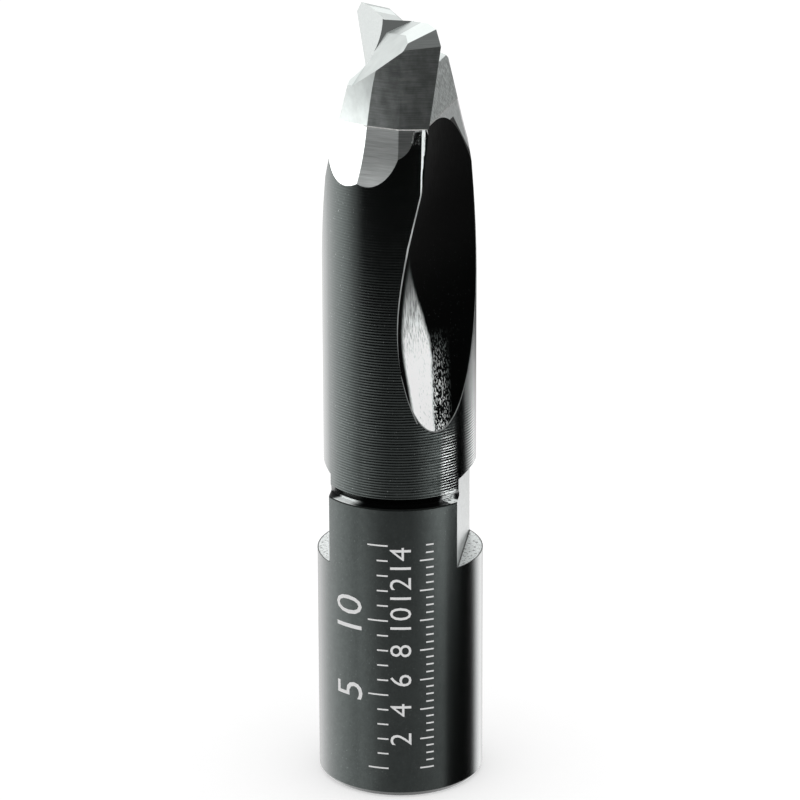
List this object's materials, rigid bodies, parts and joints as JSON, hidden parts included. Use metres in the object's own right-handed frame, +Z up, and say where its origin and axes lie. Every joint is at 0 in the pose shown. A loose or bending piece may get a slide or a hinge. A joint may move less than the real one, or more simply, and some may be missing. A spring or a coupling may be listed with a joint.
{
  "type": "dowel drill bit",
  "caption": "Dowel drill bit with a ground two-wing carbide head, a fluted blackened steel body and a thicker shank with wrench flats and a threaded spindle hole.",
  "frame": {"origin": "centre of the flat seat face at the lower, threaded end, on the drill axis", "axes": "+Z up the drill axis from the threaded end to the cutting tips, +X out through one wrench flat, +Y level and square to both"},
  "size_m": [0.0104, 0.0104, 0.0494],
  "materials": {
    "blackened_steel": "finely turned and blackened, wrench flats left bright",
    "braze_metal": "bare braze metal, ground flush",
    "ground_carbide": "finely ground"
  },
  "bodies": {
    "root": {"steel_body": "blackened_steel", "braze_layer": "braze_metal", "carbide_head": "ground_carbide"}
  },
  "joints": []
}
